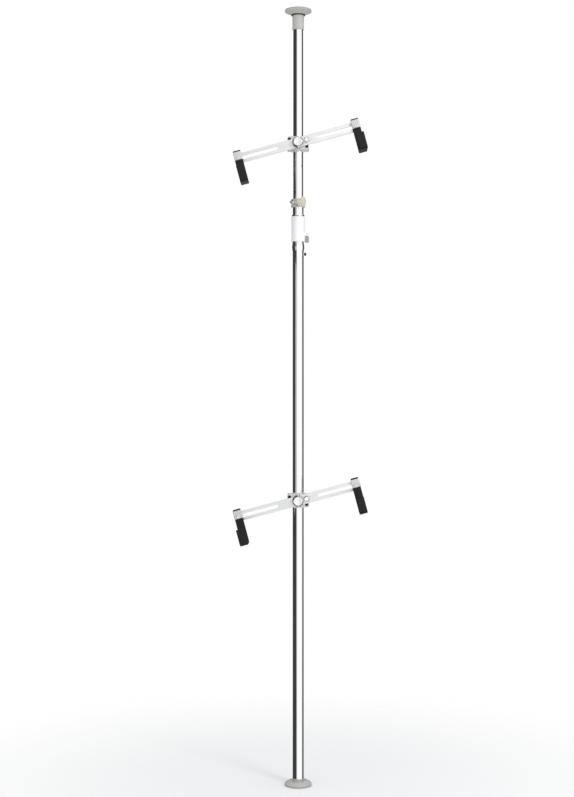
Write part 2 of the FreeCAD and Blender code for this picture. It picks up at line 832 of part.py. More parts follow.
        def bend(ys, z):
            return lambda e: (
                abs(e.Length - 2 * SW.value) < 0.01
                and any(abs(e.Vertexes[0].Y - y) < 0.01 for y in ys)
                and abs(e.Vertexes[0].Z - z) < 0.01
            )

        rounded(hook, dim("hook_bend"), bend(yo, zo))
        rounded(hook, dim("hook_bend") - HT, bend(yi, zi))
        bore = cyl(m + "hook_way", SH + RUN, 20, (0, -60, 0), ALONG_Y)
        bare = [
            box(m + "hook_bare_near", (HW, -60, -SV), (HW + 5, -40, HU + 2)),
            box(m + "hook_bare_far", (-HW - 5, -60, -SV), (-HW, -40, HU + 2)),
        ]
        node(on_arm(cut(m + "hook", hook, [bore] + bare), height, along), m + "hook")

        # the slider block over the hook, in front of the arm
        block = cut(
            m + "slider_block",
            box(m + "slider_solid", (-HW - 1.5, -58, -6.2), (HW + 1.5, -(AF + 0.3), 23.2)),
            [
                box(m + "slider_channel", (-HW - 0.1, -(HB + HT) - 0.1, -9), (HW + 0.1, -40, 26)),
                cyl(m + "slider_way", SH + RUN, 12, (0, -62, 0), ALONG_Y),
            ],
        )
        node(on_arm(block, height, along), m + "slider_block")

        # the plate behind the arm, with a key that stands in the slot inboard of the bolt
        x0, x1 = sign * 6, sign * 12.5
        plate = cut(
            m + "slider_plate",
            fuse(
                m + "plate_solid",
                [
                    box(m + "plate_body", (-13, -AB + 0.3, -13), (13, -AB + 4.3, 13)),
                    box(
                        m + "plate_key",
                        (min(x0, x1), -AB - 3, -dim("slot_half") + 0.3),
                        (max(x0, x1), -AB + 1, dim("slot_half") - 0.3),
                    ),
                ],
            ),
            [cyl(m + "plate_bolt_way", SH + RUN, 8, (0, -AB - 1, 0), ALONG_Y)],
        )
        node(on_arm(plate, height, along), m + "slider_plate")

        # the bolt through block, hook, slot and plate, that the knob pulls on
        bolt = cut(
            m + "slider_bolt",
            fuse(
                m + "slider_bolt_solid",
                [
                    cyl(m + "slider_bolt_head", 6.5, 3, (0, -61.05, 0), ALONG_Y),
                    cyl(m + "slider_bolt_shank", SH, 36, (0, -58.5, 0), ALONG_Y),
                ],
            ),
            [hexagon(m + "slider_bolt_socket", 5, 2, (0, -61.2, 0), ALONG_Y)],
        )
        node(on_arm(bolt, height, along), m + "slider_bolts")

        # the hand knob behind the arm
        SK = dim("slider_knob_radius")
        grip_knob = gripped(
            m + "slider_knob",
            [
                (SH + RUN, 0), (8, 0), (8, 2.2), (SK - 1.5, 2.8), (SK, 4), (SK, 13.4),
                (SK - 2, 15), (0, 15), (0, 12.6), (SH + RUN, 12.6),
            ],
            3.2, KNOWN["slider_knob_radius"] - 0.4, 3.2, 14.2, 7,
        )
        grip_knob.Placement = Placement(
            TILT.multVec(Vector(along.value, -KNOWN["arm_back"] + 4.6, 0))
            + Vector(0, 0, height.value),
            TILT.multiply(ALONG_Y),
        )
        grip_knob.setExpression(".Placement.Base.x", "%s * %s" % (along.text, COS))
        grip_knob.setExpression(".Placement.Base.z", "%s + %s * %s" % (height.text, along.text, SIN))
        node(grip_knob, m + "slider_knob")


cradle("upper", dim("top_cradle"), UR)
cradle("lower", dim("low_cradle"), LR)

doc.recompute()

# ---------------------------------------------------------------- checks
bad = []
for obj in doc.Objects:
    states = set(obj.State)
    if states & {"Invalid", "Error"}:
        bad.append("%s (%s): %s" % (obj.Name, obj.Label, sorted(states)))
for label, obj in nodes.items():
    shape = obj.Shape
    if shape.isNull() or not shape.isValid() or not shape.Solids:
        bad.append("%s has no valid solid" % label)
if bad:
    raise SystemExit("\n".join(bad))
if len(nodes) > 60:
    raise SystemExit("too many nodes: %d" % len(nodes))

for name in os.listdir("parts"):
    if name.endswith(".step"):
        os.remove(os.path.join("parts", name))
for label, obj in nodes.items():
    obj.Shape.exportStep("parts/%s.step" % label)
print(len(nodes), "nodes")
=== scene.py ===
import json
import math

import bmesh
import bpy
from mathutils import Matrix, Vector
from mathutils.geometry import tessellate_polygon


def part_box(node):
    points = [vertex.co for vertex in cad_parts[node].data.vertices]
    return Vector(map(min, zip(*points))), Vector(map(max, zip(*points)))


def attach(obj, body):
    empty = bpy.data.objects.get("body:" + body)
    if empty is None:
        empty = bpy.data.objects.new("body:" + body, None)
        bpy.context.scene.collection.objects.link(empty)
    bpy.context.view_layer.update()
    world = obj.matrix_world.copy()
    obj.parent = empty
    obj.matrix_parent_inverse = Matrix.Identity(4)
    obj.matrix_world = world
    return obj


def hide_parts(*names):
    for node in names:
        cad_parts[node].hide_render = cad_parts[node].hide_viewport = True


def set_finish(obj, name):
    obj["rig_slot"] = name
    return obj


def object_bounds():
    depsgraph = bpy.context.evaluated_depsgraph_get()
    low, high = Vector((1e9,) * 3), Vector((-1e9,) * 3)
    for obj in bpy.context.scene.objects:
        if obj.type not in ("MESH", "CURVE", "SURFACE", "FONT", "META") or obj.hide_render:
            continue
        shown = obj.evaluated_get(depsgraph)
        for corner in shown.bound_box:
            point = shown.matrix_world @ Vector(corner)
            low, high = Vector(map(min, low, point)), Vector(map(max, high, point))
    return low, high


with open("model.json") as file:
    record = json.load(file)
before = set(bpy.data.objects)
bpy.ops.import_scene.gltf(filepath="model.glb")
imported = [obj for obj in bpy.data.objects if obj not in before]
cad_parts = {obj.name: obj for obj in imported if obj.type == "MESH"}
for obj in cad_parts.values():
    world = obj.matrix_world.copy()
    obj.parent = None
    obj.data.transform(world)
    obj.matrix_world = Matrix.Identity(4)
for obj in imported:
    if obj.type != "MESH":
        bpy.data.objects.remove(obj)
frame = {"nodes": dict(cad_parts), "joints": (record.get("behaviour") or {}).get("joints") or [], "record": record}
CAD_LOW, CAD_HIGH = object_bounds()
JOINTS = {j["name"]: j for j in frame["joints"]}
NODES = frame["nodes"]
BODY_OF = {
    n: b for b, ns in frame["record"]["behaviour"]["bodies"].items() for n in ns
}
SLOT_OF = {s["node"]: s["material_slot"] for s in frame["record"]["subparts"]}
PI = math.pi
scene = bpy.context.scene

# ------------------------------------------------------------------ camera
# The pole stands a little right of the frame's middle, at mid height.
low, high = CAD_LOW, CAD_HIGH
camera = bpy.data.cameras.new("camera")
cam = bpy.data.objects.new("camera", camera)
scene.collection.objects.link(cam)
camera.lens = 62.5
camera.sensor_width = 36
camera.clip_start, camera.clip_end = 0.05, 60
cam.location = (0.06, -5.0, (low.z + high.z) / 2 - 0.0036)
cam.rotation_euler = (math.radians(90), 0, math.radians(1.151))
scene.camera = cam

# ---------------------------------------------------------------- geometry
# A shape is (corners, faces), in millimetres.


def joined(*shapes):
    corners, faces = [], []
    for c, f in shapes:
        k = len(corners)
        corners += list(c)
        faces += [[i + k for i in face] for face in f]
    return corners, faces


def moved(shape, matrix):
    return [matrix @ Vector(c) for c in shape[0]], shape[1]


def softened(points, radius, steps=3, closed=True, keep=()):
    """An outline with its corners rounded. radius is one number, or a dict of corner index to number."""
    n = len(points)
    out = []
    for i in range(n):
        p = Vector(points[i])
        r = radius.get(i, 0) if isinstance(radius, dict) else radius
        if i in keep or r <= 0 or (not closed and i in (0, n - 1)):
            out.append(p)
            continue
        a, b = Vector(points[i - 1]), Vector(points[(i + 1) % n])
        da, db = (a - p), (b - p)
        la, lb = da.length, db.length
        if la < 1e-6 or lb < 1e-6:
            out.append(p)
            continue
        da, db = da / la, db / lb
        cosine = max(-1.0, min(1.0, da.dot(db)))
        half = math.acos(cosine) / 2
        if half > PI / 2 - 0.02:
            out.append(p)
            continue
        cut = min(r / math.tan(half), la * 0.48, lb * 0.48)
        rr = cut * math.tan(half)
        bis = (da + db)
        bis = bis / bis.length
        c = p + bis * (rr / math.sin(half))
        s, e = p + da * cut, p + db * cut
        vs, ve = s - c, e - c
        total = vs.angle(ve)
        k = max(2, steps)
        for j in range(k + 1):
            t = j / k
            w0 = math.sin((1 - t) * total) / math.sin(total)
            w1 = math.sin(t * total) / math.sin(total)
            out.append(c + vs * w0 + ve * w1)
    return [tuple(v) for v in out]


def lathe(profile, seg=96, radius=0.3, steps=3, wobble=None):
    """Turned about Z from an outline of (radius, height). The outline is closed unless it starts and ends on the axis."""
    on_axis = abs(profile[0][0]) < 1e-9 and abs(profile[-1][0]) < 1e-9
    keep = {i for i, p in enumerate(profile) if abs(p[0]) < 1e-9}
    pts = softened([(p[0], p[1]) for p in profile], radius, steps, not on_axis, keep)
    corners, faces, rings = [], [], []
    for r, z in pts:
        if abs(r) < 1e-9:
            rings.append([len(corners)])
            corners.append(Vector((0, 0, z)))
        else:
            ring = []
            for k in range(seg):
                a = 2 * PI * k / seg
                rr = r if wobble is None else wobble(r, z, a)
                ring.append(len(corners))
                corners.append(Vector((rr * math.cos(a), rr * math.sin(a), z)))
            rings.append(ring)
    n = len(rings)
    for i in range(n if not on_axis else n - 1):
        a, b = rings[i], rings[(i + 1) % n]
        if len(a) == 1 and len(b) == 1:
            continue
        for k in range(seg):
            k2 = (k + 1) % seg
            if len(a) == 1:
                faces.append([a[0], b[k], b[k2]])
            elif len(b) == 1:
                faces.append([a[k], b[0], a[k2]])
            else:
                faces.append([a[k], b[k], b[k2], a[k2]])
    return corners, faces


def area_of(loop):
    return sum(
        loop[i - 1][0] * loop[i][1] - loop[i][0] * loop[i - 1][1]
        for i in range(len(loop))
    ) / 2


def inset(loop, d):
    """Every corner moved by d to the left of the outline's way."""
    out = []
    n = len(loop)
    for i in range(n):
        p = Vector(loop[i][:2])
        a = (p - Vector(loop[i - 1][:2])).normalized()
        b = (Vector(loop[(i + 1) % n][:2]) - p).normalized()
        na, nb = Vector((-a.y, a.x)), Vector((-b.y, b.x))
        m = na + nb
        k = m.length_squared
        m = m * (2 / k) if k > 1e-9 else na
        if m.length > 2.5:
            m = m.normalized() * 2.5
        q = p + m * d
        out.append((q.x, q.y))
    return out


def slab(outer, holes=(), low=0.0, high=1.0, bevel=0.5, steps=3, bevel_low=None):
    """A plate between two heights, with rounded edges all round its outline and its holes."""
    bevel_low = bevel if bevel_low is None else bevel_low
    loops = [list(outer)] + [list(h) for h in holes]
    for i, loop in enumerate(loops):
        if (area_of(loop) > 0) != (i == 0):
            loop.reverse()
    levels = []
    if bevel_low > 0:
        for k in range(steps + 1):
            t = PI / 2 * k / steps
            levels.append((low + bevel_low * (1 - math.cos(t)), bevel_low * (1 - math.sin(t))))
    else:
        levels.append((low, 0.0))
    if bevel > 0:
        for k in range(steps + 1):
            t = PI / 2 * (1 - k / steps)
            levels.append((high - bevel * (1 - math.cos(t)), bevel * (1 - math.sin(t))))
    else:
        levels.append((high, 0.0))
    corners, faces = [], []
    starts = []
    for z, d in levels:
        row = []
        for loop in loops:
            pts = inset(loop, d) if d > 1e-9 else [(p[0], p[1]) for p in loop]
            row.append(len(corners))
            corners += [Vector((x, y, z)) for x, y in pts]
        starts.append(row)
    for a, b in zip(starts, starts[1:]):
        for li, loop in enumerate(loops):
            n = len(loop)
            for i in range(n):
                j = (i + 1) % n
                faces.append([a[li] + i, a[li] + j, b[li] + j, b[li] + i])
    for row, flip in ((starts[0], True), (starts[-1], False)):
        polys = [
            [corners[row[li] + i] for i in range(len(loop))] for li, loop in enumerate(loops)
        ]
        flat = [row[li] + i for li, loop in enumerate(loops) for i in range(len(loop))]
        for tri in tessellate_polygon(polys):
            f = [flat[i] for i in tri]
            faces.append(f[::-1] if flip else f)
    return corners, faces


def ring_points(radius, n=64, x=0.0, y=0.0, start=0.0):
    return [
        (x + radius * math.cos(start + 2 * PI * k / n), y + radius * math.sin(start + 2 * PI * k / n))
        for k in range(n)
    ]


def oblong(x0, x1, radius, n=24):
    out = [
        (x1 + radius * math.cos(a), radius * math.sin(a))
        for a in [-PI / 2 + PI * k / n for k in range(n + 1)]
    ]
    out += [
        (x0 + radius * math.cos(a), radius * math.sin(a))
        for a in [PI / 2 + PI * k / n for k in range(n + 1)]
    ]
    return out


def rectangle(x0, y0, x1, y1, radius=0.0, steps=6):
    pts = [(x0, y0), (x1, y0), (x1, y1), (x0, y1)]
    return softened(pts, radius, steps) if radius else pts


def lobed(radius, depth, count, n=None, power=1.0):
    """A closed outline with count round lobes."""
    n = n or count * 14
    out = []
    for k in range(n):
        a = 2 * PI * k / n
        w = 0.5 + 0.5 * math.cos(count * a)
        out.append(((radius - depth * (1 - w ** power)) * math.cos(a), (radius - depth * (1 - w ** power)) * math.sin(a)))
    return out


def hexagon(across, turn=0.0):
    r = across / math.sqrt(3)
    return [(r * math.cos(turn + PI / 3 * k), r * math.sin(turn + PI / 3 * k)) for k in range(6)]


FRONT = Matrix.Rotation(PI / 2, 4, "X")  # local Z points at the viewer
BACK = Matrix.Rotation(-PI / 2, 4, "X")  # local Z points away
SIDE = Matrix(((0, 0, 1, 0), (1, 0, 0, 0), (0, 1, 0, 0), (0, 0, 0, 1)))  # x,y,z -> Y,Z,X
LONG_X = Matrix.Rotation(PI / 2, 4, "Y")  # local Z points along +X


def shift(x=0.0, y=0.0, z=0.0):
    return Matrix.Translation((x, y, z))


MATERIALS = {}


def make(name, shape, matrix, node=None, body=None, material=None, replaces=None, sharp=32):
    """One finished piece: closed mesh, smooth where it is round, riding on its body."""
    corners, faces = moved(shape, matrix) if matrix is not None else shape
    me = bpy.data.meshes.new(name)
    me.from_pydata([tuple(Vector(c) * 0.001) for c in corners], [], faces)
    bm = bmesh.new()
    bm.from_mesh(me)
    bmesh.ops.remove_doubles(bm, verts=bm.verts, dist=1e-7)
    bmesh.ops.recalc_face_normals(bm, faces=bm.faces)
    bm.to_mesh(me)
    bm.free()
    me.shade_smooth()
    me.set_sharp_from_angle(angle=math.radians(sharp))
    ob = bpy.data.objects.new(name, me)
    scene.collection.objects.link(ob)
    node = node or (replaces[0] if replaces else None)
    slot = SLOT_OF.get(node)
    ob.data.materials.append(MATERIALS[material or slot])
    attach(ob, body or BODY_OF[node])
    if replaces:
        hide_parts(*replaces)
    if slot:
        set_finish(ob, slot)
    return ob


def united(ob, *others):
    """Joins closed pieces into one closed skin."""
    for o in others:
        m = ob.modifiers.new("join", "BOOLEAN")
        m.operation, m.solver, m.object = "UNION", "EXACT", o
    return bake_mods(ob, others)


def carved(ob, *tools):
    for o in tools:
        m = ob.modifiers.new("carve", "BOOLEAN")
        m.operation, m.solver, m.object = "DIFFERENCE", "EXACT", o
    return bake_mods(ob, tools)


def bake_mods(ob, used):
    bpy.context.view_layer.update()
    dg = bpy.context.evaluated_depsgraph_get()
    me = bpy.data.meshes.new_from_object(ob.evaluated_get(dg))
    ob.modifiers.clear()
    old = ob.data
    ob.data = me
    me.name = ob.name
    bpy.data.meshes.remove(old)
    for o in used:
        bpy.data.objects.remove(o)
    me.shade_smooth()
    me.set_sharp_from_angle(angle=math.radians(32))
    return ob


def loose(name, shape, matrix, material):
    """A closed mesh used only to join to, or cut from, another."""
    corners, faces = moved(shape, matrix) if matrix is not None else shape
    me = bpy.data.meshes.new(name)
    me.from_pydata([tuple(Vector(c) * 0.001) for c in corners], [], faces)
    bm = bmesh.new()
    bm.from_mesh(me)
    bmesh.ops.remove_doubles(bm, verts=bm.verts, dist=1e-7)
    bmesh.ops.recalc_face_normals(bm, faces=bm.faces)
    bm.to_mesh(me)
    bm.free()
    me.materials.append(MATERIALS[material])
    ob = bpy.data.objects.new(name, me)
    scene.collection.objects.link(ob)
    return ob


# --------------------------------------------------------------- materials


def material(name, colour, rough, metallic=0.0, spread=0.04, rough_spread=0.08,
             grain=900.0, bump=0.1, bump_mm=0.02, stretch=None, turn=None,
             specular=0.5, coat=0.0, coat_rough=0.1, wear=0.0, dust=0.0, blotch=14.0):
    """A finish with its own grain, colour drift and wear. stretch draws the grain out into lines; turn tilts them."""
    m = bpy.data.materials.new(name)
    m.use_nodes = True
    t = m.node_tree
    t.nodes.clear()
    out = t.nodes.new("ShaderNodeOutputMaterial")
    b = t.nodes.new("ShaderNodeBsdfPrincipled")
    t.links.new(b.outputs[0], out.inputs[0])
    b.inputs["Metallic"].default_value = metallic
    b.inputs["Specular IOR Level"].default_value = specular
    b.inputs["Coat Weight"].default_value = coat
    b.inputs["Coat Roughness"].default_value = coat_rough
    at = t.nodes.new("ShaderNodeTexCoord")
    where = at.outputs["Object"]
    if turn is not None or stretch is not None:
        if turn is not None:
            mt = t.nodes.new("ShaderNodeMapping")
            mt.vector_type = "POINT"
            mt.inputs["Rotation"].default_value = turn
            t.links.new(where, mt.inputs["Vector"])
            where = mt.outputs[0]
        if stretch is not None:
            ms = t.nodes.new("ShaderNodeMapping")
            ms.inputs["Scale"].default_value = stretch
            t.links.new(where, ms.inputs["Vector"])
            lines = ms.outputs[0]
        else:
            lines = where
    else:
        lines = where
    fine = t.nodes.new("ShaderNodeTexNoise")
    fine.inputs["Scale"].default_value = grain
    fine.inputs["Detail"].default_value = 3
    t.links.new(lines, fine.inputs["Vector"])
    broad = t.nodes.new("ShaderNodeTexNoise")
    broad.inputs["Scale"].default_value = blotch
    broad.inputs["Detail"].default_value = 4
    t.links.new(at.outputs["Object"], broad.inputs["Vector"])
    ramp = t.nodes.new("ShaderNodeValToRGB")
    ramp.color_ramp.elements[0].position = 0.3
    ramp.color_ramp.elements[1].position = 0.7
    lo = [max(0.0, c * (1 - spread)) for c in colour]
    hi = [min(1.0, c * (1 + spread)) for c in colour]
    ramp.color_ramp.elements[0].color = (*lo, 1)
    ramp.color_ramp.elements[1].color = (*hi, 1)
    t.links.new(broad.outputs["Fac"], ramp.inputs[0])
    colour_out = ramp.outputs[0]
    mix = t.nodes.new("ShaderNodeMix")
    mix.data_type = "RGBA"
    mix.blend_type = "MULTIPLY"
    mix.inputs["Factor"].default_value = 1.0
    tint = t.nodes.new("ShaderNodeMapRange")
    tint.inputs["To Min"].default_value = 1 - spread
    tint.inputs["To Max"].default_value = 1 + spread * 0.5
    t.links.new(fine.outputs["Fac"], tint.inputs["Value"])
    t.links.new(colour_out, mix.inputs["A"])
    t.links.new(tint.outputs[0], mix.inputs["B"])
    colour_out = mix.outputs["Result"]
    if wear:
        geo = t.nodes.new("ShaderNodeNewGeometry")
        edge = t.nodes.new("ShaderNodeMapRange")
        edge.inputs["From Min"].default_value = 0.52
        edge.inputs["From Max"].default_value = 0.62
        t.links.new(geo.outputs["Pointiness"], edge.inputs["Value"])
        weigh = t.nodes.new("ShaderNodeMath")
        weigh.operation = "MULTIPLY"
        weigh.inputs[1].default_value = wear
        t.links.new(edge.outputs[0], weigh.inputs[0])
        brighter = t.nodes.new("ShaderNodeMix")
        brighter.data_type = "RGBA"
        brighter.inputs["B"].default_value = (*[min(1, c * 1.25 + 0.06) for c in colour], 1)
        t.links.new(weigh.outputs[0], brighter.inputs["Factor"])
        t.links.new(colour_out, brighter.inputs["A"])
        colour_out = brighter.outputs["Result"]
    t.links.new(colour_out, b.inputs["Base Color"])
    rr = t.nodes.new("ShaderNodeMapRange")
    rr.inputs["To Min"].default_value = max(0.02, rough - rough_spread)
    rr.inputs["To Max"].default_value = min(1.0, rough + rough_spread)
    mixr = t.nodes.new("ShaderNodeMath")
    mixr.operation = "ADD"
    half = t.nodes.new("ShaderNodeMath")
    half.operation = "MULTIPLY"
    half.inputs[1].default_value = 0.5
    t.links.new(fine.outputs["Fac"], mixr.inputs[0])
    t.links.new(broad.outputs["Fac"], mixr.inputs[1])
    t.links.new(mixr.outputs[0], half.inputs[0])
    t.links.new(half.outputs[0], rr.inputs["Value"])
    t.links.new(rr.outputs[0], b.inputs["Roughness"])
    bp = t.nodes.new("ShaderNodeBump")
    bp.inputs["Strength"].default_value = bump
    bp.inputs["Distance"].default_value = bump_mm * 0.001
    t.links.new(fine.outputs["Fac"], bp.inputs["Height"])
    t.links.new(bp.outputs[0], b.inputs["Normal"])
    MATERIALS[name] = m
    return m


TILT = math.atan2(
    JOINTS["upper_left_hook_slide"]["axis"][2], JOINTS["upper_left_hook_slide"]["axis"][0]
)
material("polished_steel", (0.90, 0.905, 0.91), 0.06, 1.0, spread=0.015, rough_spread=0.035,
         grain=220, bump=0.04, bump_mm=0.01, stretch=(9, 9, 0.12), blotch=6)
material("cast_grey", (0.61, 0.61, 0.60), 0.42, 0.35, spread=0.05, rough_spread=0.08,
         grain=1500, bump=0.35, bump_mm=0.05, wear=0.25)
material("cup_grey", (0.50, 0.485, 0.455), 0.46, 0.0, spread=0.04, grain=1800, bump=0.25, bump_mm=0.03, wear=0.2)
material("pad_rubber", (0.42, 0.41, 0.385), 0.72, 0.0, spread=0.06, grain=1300, bump=0.4, bump_mm=0.05)
material("silver_anodised", (0.755, 0.758, 0.762), 0.38, 0.55, spread=0.025, rough_spread=0.06,
         grain=240, bump=0.16, bump_mm=0.012, stretch=(0.25, 9, 9), turn=(0, TILT, 0), blotch=9, wear=0.2)
material("nut_silver", (0.94, 0.945, 0.95), 0.5, 0.15, spread=0.02, rough_spread=0.06,
         grain=240, bump=0.14, bump_mm=0.012, stretch=(0.6, 0.6, 12), blotch=10, wear=0.2)
material("zinc_steel", (0.66, 0.67, 0.69), 0.26, 1.0, spread=0.05, grain=700, bump=0.1, bump_mm=0.015, wear=0.2)
material("black_steel", (0.012, 0.012, 0.013), 0.45, 0.0, spread=0.2, grain=900, bump=0.15, bump_mm=0.02, specular=0.3, wear=0.1)
material("black_nylon", (0.028, 0.028, 0.03), 0.5, 0.0, spread=0.15, grain=1500, bump=0.2, bump_mm=0.02)
material("ivory_plastic", (0.68, 0.63, 0.50), 0.33, 0.0, spread=0.035, grain=1500, bump=0.15, bump_mm=0.02, wear=0.15)
material("grip_grey", (0.36, 0.34, 0.365), 0.45, 0.0, spread=0.05, grain=1500, bump=0.2, bump_mm=0.02)
material("hook_coating", (0.010, 0.0102, 0.0108), 0.58, 0.0, specular=0.24, spread=0.22, rough_spread=0.1,
         grain=1000, bump=0.5, bump_mm=0.06, blotch=30, wear=0.04)
material("white_nylon", (0.78, 0.78, 0.76), 0.42, 0.0, spread=0.02, grain=1500, bump=0.1, bump_mm=0.02)
material("knob_silver", (0.86, 0.86, 0.865), 0.15, 0.95, spread=0.02, rough_spread=0.04,
         grain=500, bump=0.1, bump_mm=0.01, wear=0.2)

for name, ob in NODES.items():
    ob.data.materials.clear()
    ob.data.materials.append(MATERIALS[SLOT_OF[name]])

# ---------------------------------------------------------- foot and tubes
R, LR, UR = 48.5, 20.0, 18.0
TOP = 2800.0

sole = [
    (0, 0), (20, 0), (20.4, 1.2), (22.6, 1.2), (23, 0), (34, 0), (34.4, 1.2), (36.6, 1.2), (37, 0),
    (R - 1.5, 0), (R, 1.5), (R - 0.5, 2.0), (R - 0.5, 2.5), (R, 3.0), (R, 5), (0, 5),
]
make("sole", lathe(sole, 128, 0.25), Matrix(), replaces=["foot_sole"])


def cup_profile():
    return [
        (LR + 0.15, 9), (8, 9), (8, 5), (R, 5), (R, 7.4), (R - 0.5, 8.6), (R - 1.8, 9.9),
        (R - 5, 12.5), (R - 10, 15.1), (R - 12.6, 16.3), (R - 15, 17.0), (R - 18.3, 17.0),
        (R - 19.8, 16.4), (R - 21, 15.8), (LR + 2.0, 15.4), (LR + 0.15, 15.2),
    ]


make("foot_dome", lathe(cup_profile(), 128, 0.9, 3), Matrix(), replaces=["foot_cup"])

tube_low, tube_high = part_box("lower_tube")
z0, z1 = tube_low.z * 1000, tube_high.z * 1000
make("lower_pole", lathe([(LR - 1.5, z0), (LR, z0), (LR, z1), (LR - 1.5, z1)], 160, 0.4), Matrix(), replaces=["lower_tube"])
tube_low, tube_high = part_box("upper_tube")
z0, z1 = tube_low.z * 1000, tube_high.z * 1000
make("upper_pole", lathe([(UR - 1.5, z0), (UR, z0), (UR, z1), (UR - 1.5, z1)], 160, 0.4), Matrix(), replaces=["upper_tube"])

# ---------------------------------------------------------- ceiling fitting
make(
    "ceiling_rubber",
    lathe(
        [
            (0, TOP), (20, TOP), (20.4, TOP - 1.2), (22.6, TOP - 1.2), (23, TOP), (34, TOP),
            (34.4, TOP - 1.2), (36.6, TOP - 1.2), (37, TOP), (R - 1.5, TOP), (R, TOP - 1.5),
            (R - 0.5, TOP - 2.0), (R - 0.5, TOP - 2.5), (R, TOP - 3.0), (R, TOP - 5), (0, TOP - 5),
        ],
        128, 0.25,
    ),
    Matrix(), replaces=["ceiling_pad"],
)
make(
    "ceiling_cone",
    lathe(
        [
            (UR + 0.1, TOP - 20.6), (UR + 1.2, TOP - 20.6), (UR + 1.2, TOP - 17.6), (UR + 7.5, TOP - 17.6),
            (UR + 8.7, TOP - 16.6), (UR + 10.4, TOP - 15.4), (R - 12, TOP - 12.2), (R - 5, TOP - 9.4), (R - 2.2, TOP - 8.2),
            (R - 0.5, TOP - 7.0), (R, TOP - 6.0), (R, TOP - 5.05), (UR + 0.1, TOP - 5.05),
        ],
        128, 0.7, 3,
    ),
    Matrix(), replaces=["ceiling_cup"],
)
# Painted shade: a thin black ring sits where the cone meets the sleeve and stands in for the shadowed gap at that
# junction.
shade_ring = make(
    "ceiling_painted_shade_ring",
    lathe([(UR + 3.1, TOP - 20.4), (UR + 6.8, TOP - 20.4), (UR + 7.4, TOP - 19.8), (UR + 7.4, TOP - 17.65), (UR + 3.1, TOP - 17.65)], 96, 0.3),
    Matrix(), node="ceiling_cup", material="black_nylon",
)
del shade_ring["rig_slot"]
make(
    "ceiling_sleeve",
    lathe(
        [
            (UR + 0.1, TOP - 72), (UR + 2.2, TOP - 72), (UR + 3, TOP - 71), (UR + 3, TOP - 68.2),
            (UR + 2.6, TOP - 67.8), (UR + 2.6, TOP - 67.0), (UR + 3, TOP - 66.6), (UR + 3, TOP - 22.0),
            (UR + 2, TOP - 20.9), (UR + 0.1, TOP - 20.9),
        ],
        128, 0.35,
    ),
    Matrix(), replaces=["ceiling_collar"],
)

# ------------------------------------------------------------------- jack
# Ferrule: tapered skirt and a real helical thread.
THREAD_R, PITCH = 21.3, 4.0


def threaded(radius, depth, pitch, low, high, seg=96, per=10):
    """A closed outer skin with one helical groove, faded out at both ends."""
    rows = int((high - low) / pitch * per)
    corners, faces = [], []
    for j in range(rows + 1):
        z = low + (high - low) * j / rows
        fade = min(1.0, (z - low) / 2.5, (high - z) / 2.5)
        for k in range(seg):
            a = 2 * PI * k / seg
            p = ((z - pitch * a / (2 * PI)) / pitch) % 1.0
            w = 0.5 - 0.5 * math.cos(2 * PI * p)
            w = max(0.0, min(1.0, (w - 0.18) / 0.64))
            r = radius - depth * w * max(0.0, fade)
            corners.append(Vector((r * math.cos(a), r * math.sin(a), z)))
    for j in range(rows):
        for k in range(seg):
            k2 = (k + 1) % seg
            faces.append([j * seg + k, j * seg + k2, (j + 1) * seg + k2, (j + 1) * seg + k])
    return corners, faces, rows


f_low, f_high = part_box("jack_ferrule")
FL, FH = f_low.z * 1000, f_high.z * 1000
thread_low = FL + 21.5
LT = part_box("lower_tube")[1].z * 1000
tc, tf, rows = threaded(THREAD_R, 1.3, PITCH, thread_low, FH - 0.6)
seg = 96
inner = [  # from the thread's top, over the end, down the bore and round the skirt to the thread's foot
    (THREAD_R - 0.8, FH), (UR + 0.4, FH), (UR + 0.4, LT), (LR + 0.05, LT), (LR + 0.05, FL),
    (LR + 0.8, FL), (LR + 2.1, FL + 12.6), (LR + 2.3, FL + 14.4), (LR + 2.3, FL + 18.6), (LR + 1.2, FL + 20.2),
]
base = len(tc)
for r, z in inner:
    for k in range(seg):
        a = 2 * PI * k / seg
        tc.append(Vector((r * math.cos(a), r * math.sin(a), z)))
ring_ids = [rows * seg] + [base + i * seg for i in range(len(inner))] + [0]
for a, b in zip(ring_ids, ring_ids[1:]):
    for k in range(seg):
        k2 = (k + 1) % seg
        tf.append([a + k, a + k2, b + k2, b + k])
make("threaded_ferrule", (tc, tf), Matrix(), replaces=["jack_ferrule"], sharp=40)

n_low, n_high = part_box("jack_nut")
NL, NH = n_low.z * 1000, n_high.z * 1000
NUT = 24.8


def nut_wobble(r, z, a):
    """Grip flutes in a band near the foot of the nut."""
    if r < NUT - 0.9 or not (NL + 4 < z < NL + 34):
        return r
    fade = min(1.0, (z - NL - 4) / 2.0, (NL + 34 - z) / 2.0)
    return r - 0.7 * fade * (0.5 - 0.5 * math.cos(30 * a)) ** 0.8


nut_profile = [(THREAD_R + 0.1, NL), (NUT - 1, NL), (NUT, NL + 1)]
nut_profile += [(NUT, NL + 3 + i) for i in range(0, 34, 1)]
nut_profile += [
    (NUT, NL + 42), (NUT - 0.7, NL + 42.6), (NUT - 0.7, NL + 44.0), (NUT, NL + 44.6), (NUT, NH - 9),
    (NUT - 0.7, NH - 8.4), (NUT - 0.7, NH - 7.0), (NUT, NH - 6.4), (NUT, NH - 2), (NUT - 2, NH),
    (19.7, NH), (19.7, NH - 14), (THREAD_R + 0.1, NH - 14),
]
nut = make("jack_sleeve_nut", lathe(nut_profile, 180, 0.2, 2, nut_wobble), Matrix(), replaces=["jack_nut"])
hinge = JOINTS["handle_fold"]["pos_m"]
HX, HZ = hinge[0] * 1000, hinge[2] * 1000
arc = [(HX + 6 * math.cos(a), HZ + 6 * math.sin(a)) for a in [-PI / 2 + PI * k / 20 for k in range(21)]]
lug_outline = [(21.9, HZ - 6)] + arc + [(21.9, HZ + 6)]
pin_hole = ring_points(1.6, 24, HX, HZ)
